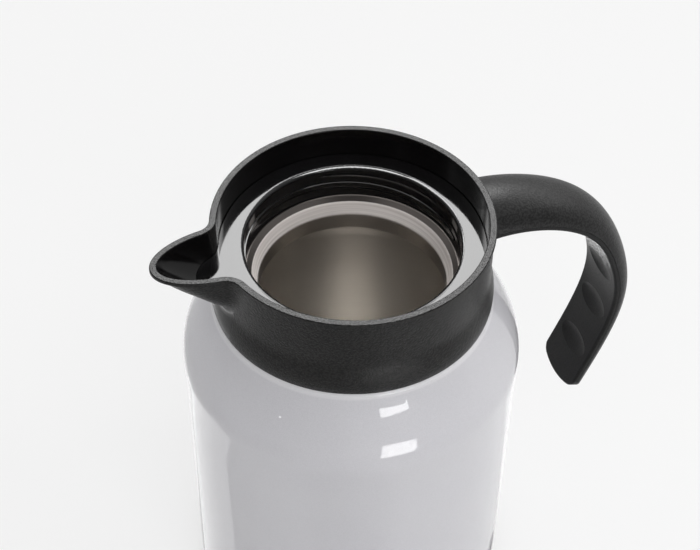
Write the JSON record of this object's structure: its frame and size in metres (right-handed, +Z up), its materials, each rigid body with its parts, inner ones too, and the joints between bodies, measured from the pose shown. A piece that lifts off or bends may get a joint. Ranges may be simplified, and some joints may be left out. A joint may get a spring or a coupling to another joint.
{
  "type": "thermal carafe",
  "caption": "Vacuum-insulated steel jug with a black collar and beak spout, a threaded mouth left open for its stopper, and a swept open-ended handle.",
  "frame": {"origin": "centre of the base, on the surface the foot ring stands on", "axes": "+Z up along the body's axis, +X towards the handle, -X towards the pouring spout, XZ the mirror plane"},
  "size_m": [0.2016, 0.1356, 0.2],
  "materials": {
    "shell_paint": "pale silver-grey satin lacquer",
    "vessel_steel": "drawn and lightly polished stainless steel",
    "base_steel": "mill-finish stainless steel",
    "copper_foil": "bright copper foil",
    "braze": "dull braze bead",
    "getter_alloy": "matt sintered pellet",
    "base_plastic": "matt black",
    "foot_silicone": "matt black silicone",
    "seal_silicone": "translucent grey silicone",
    "nut_plastic": "matt black",
    "collar_plastic": "black, polished inside, fine-grained outside",
    "mouth_plastic": "polished black",
    "handle_plastic": "fine-grained black",
    "screw_steel": "zinc-plated"
  },
  "bodies": {
    "root": {"outer_shell": "shell_paint", "inner_vessel": "vessel_steel", "inner_floor": "vessel_steel", "radiation_shield": "copper_foil", "shell_base": "base_steel", "vacuum_seal": "braze", "getter": "getter_alloy", "base_cover": "base_plastic", "foot_ring": "foot_silicone", "shoulder_gasket": "seal_silicone", "neck_nut": "nut_plastic", "neck_seal": "seal_silicone", "collar": "collar_plastic", "mouth_ring": "mouth_plastic", "handle_shell": "handle_plastic", "handle_grip": "handle_plastic", "handle_screws": "screw_steel"}
  },
  "joints": []
}
